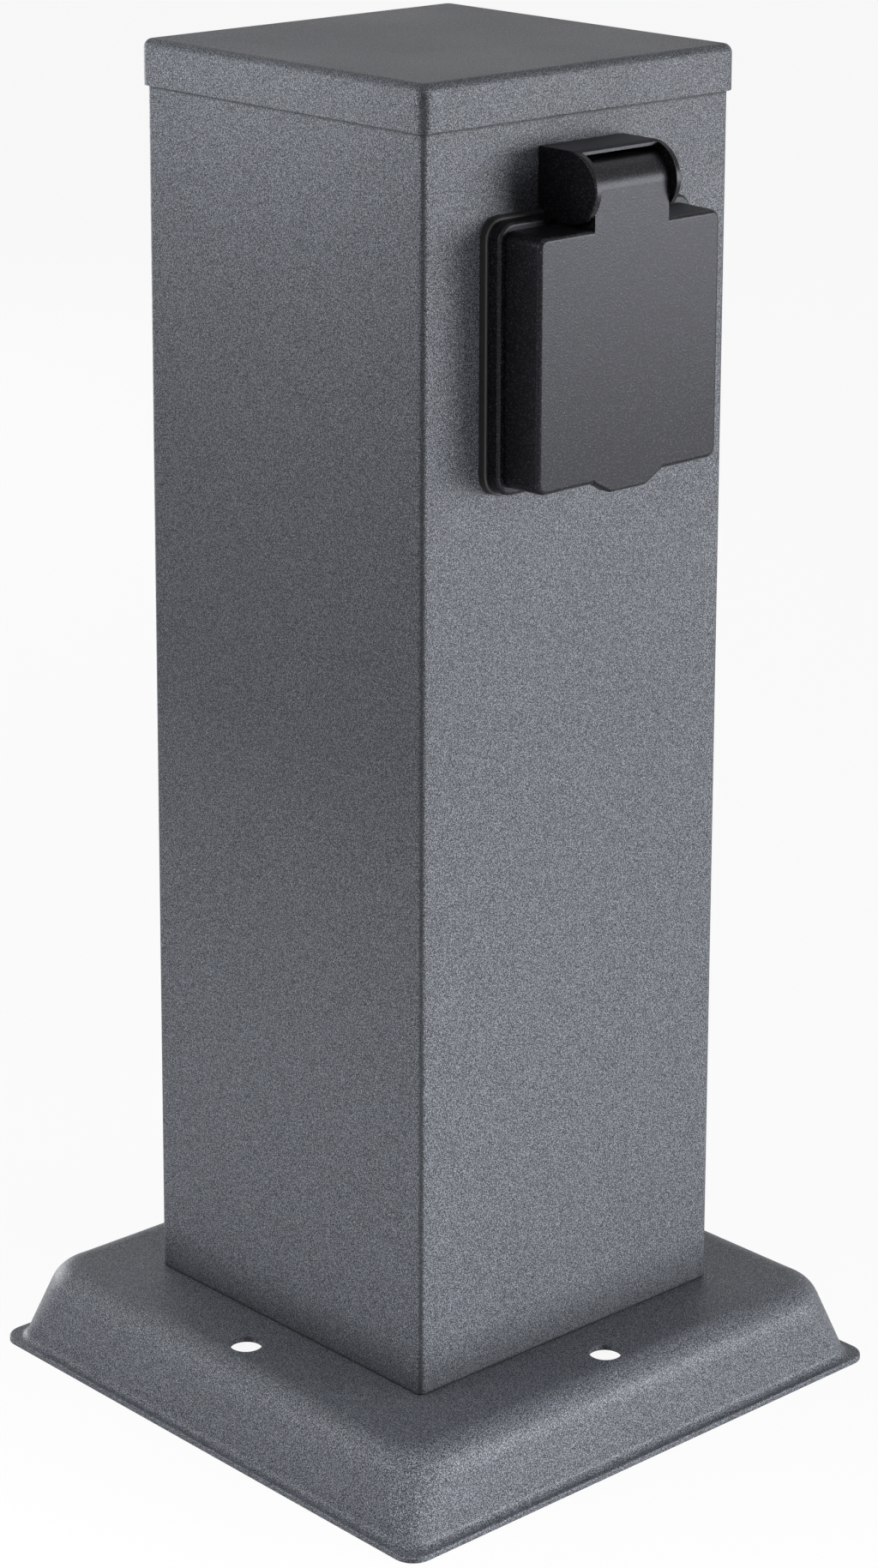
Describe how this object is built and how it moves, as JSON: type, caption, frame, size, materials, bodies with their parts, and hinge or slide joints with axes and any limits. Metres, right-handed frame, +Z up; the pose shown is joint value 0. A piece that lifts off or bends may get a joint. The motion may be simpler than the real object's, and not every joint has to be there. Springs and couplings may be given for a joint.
{
  "type": "garden socket post",
  "caption": "Short square steel bollard on a pressed dish foot, with one splash-proof earthed socket under a self-closing hinged lid near its top.",
  "frame": {"origin": "centre of the foot's underside", "axes": "+Z up along the column, the socket's lid looks along -Y, +X to the right seen from the socket's front"},
  "size_m": [0.176, 0.176, 0.377],
  "materials": {
    "post_steel": "anthracite textured powder coat",
    "black_plastic": "moulded, fine matte grain",
    "insert_plastic": "moulded, smooth",
    "black_gasket": "foam rubber",
    "black_rubber": "moulded",
    "grey_silicone": "moulded silicone",
    "zinc_steel": "zinc plated",
    "zinc_sheet": "galvanised sheet",
    "stainless": "bright drawn",
    "brass": "stamped",
    "tinned_copper": "tinned",
    "block_plastic": "moulded, natural",
    "brown_insulation": "smooth",
    "blue_insulation": "smooth",
    "green_yellow_insulation": "smooth"
  },
  "bodies": {
    "post": {"base_plate": "post_steel", "column": "post_steel", "cap": "post_steel", "column_screws": "zinc_steel", "column_nuts": "zinc_steel", "cable_grommet": "black_rubber", "socket_gasket": "black_gasket", "socket_flange": "black_plastic", "flange_screws": "zinc_steel", "flange_nuts": "zinc_steel", "hinge_pin": "stainless", "hinge_spring": "stainless", "socket_insert": "insert_plastic", "insert_screws": "zinc_steel", "earth_strap": "brass", "live_contact": "brass", "neutral_contact": "brass", "clamp_screws": "zinc_steel", "contact_cover": "insert_plastic", "cover_screws": "zinc_steel", "block_bracket": "zinc_sheet", "terminal_block": "block_plastic", "block_tubes": "brass", "block_screws": "zinc_steel", "block_mount_screws": "zinc_steel", "earth_stud": "zinc_steel", "earth_nut": "zinc_steel", "ring_lug": "tinned_copper", "live_lead": "brown_insulation", "neutral_lead": "blue_insulation", "earth_lead": "green_yellow_insulation", "bond_lead": "green_yellow_insulation"},
    "lid": {"lid": "black_plastic", "lid_seal": "grey_silicone"}
  },
  "joints": [
    {"name": "lid_hinge", "type": "hinge", "parent": "post", "child": "lid", "pos_m": [0, -0.0666, 0.3477], "axis": [-1, 0, 0], "range_deg": [0, 105], "stiffness_Nm_per_rad": 0.03, "springref_deg": -45.84, "deforming": ["hinge_spring"]}
  ]
}
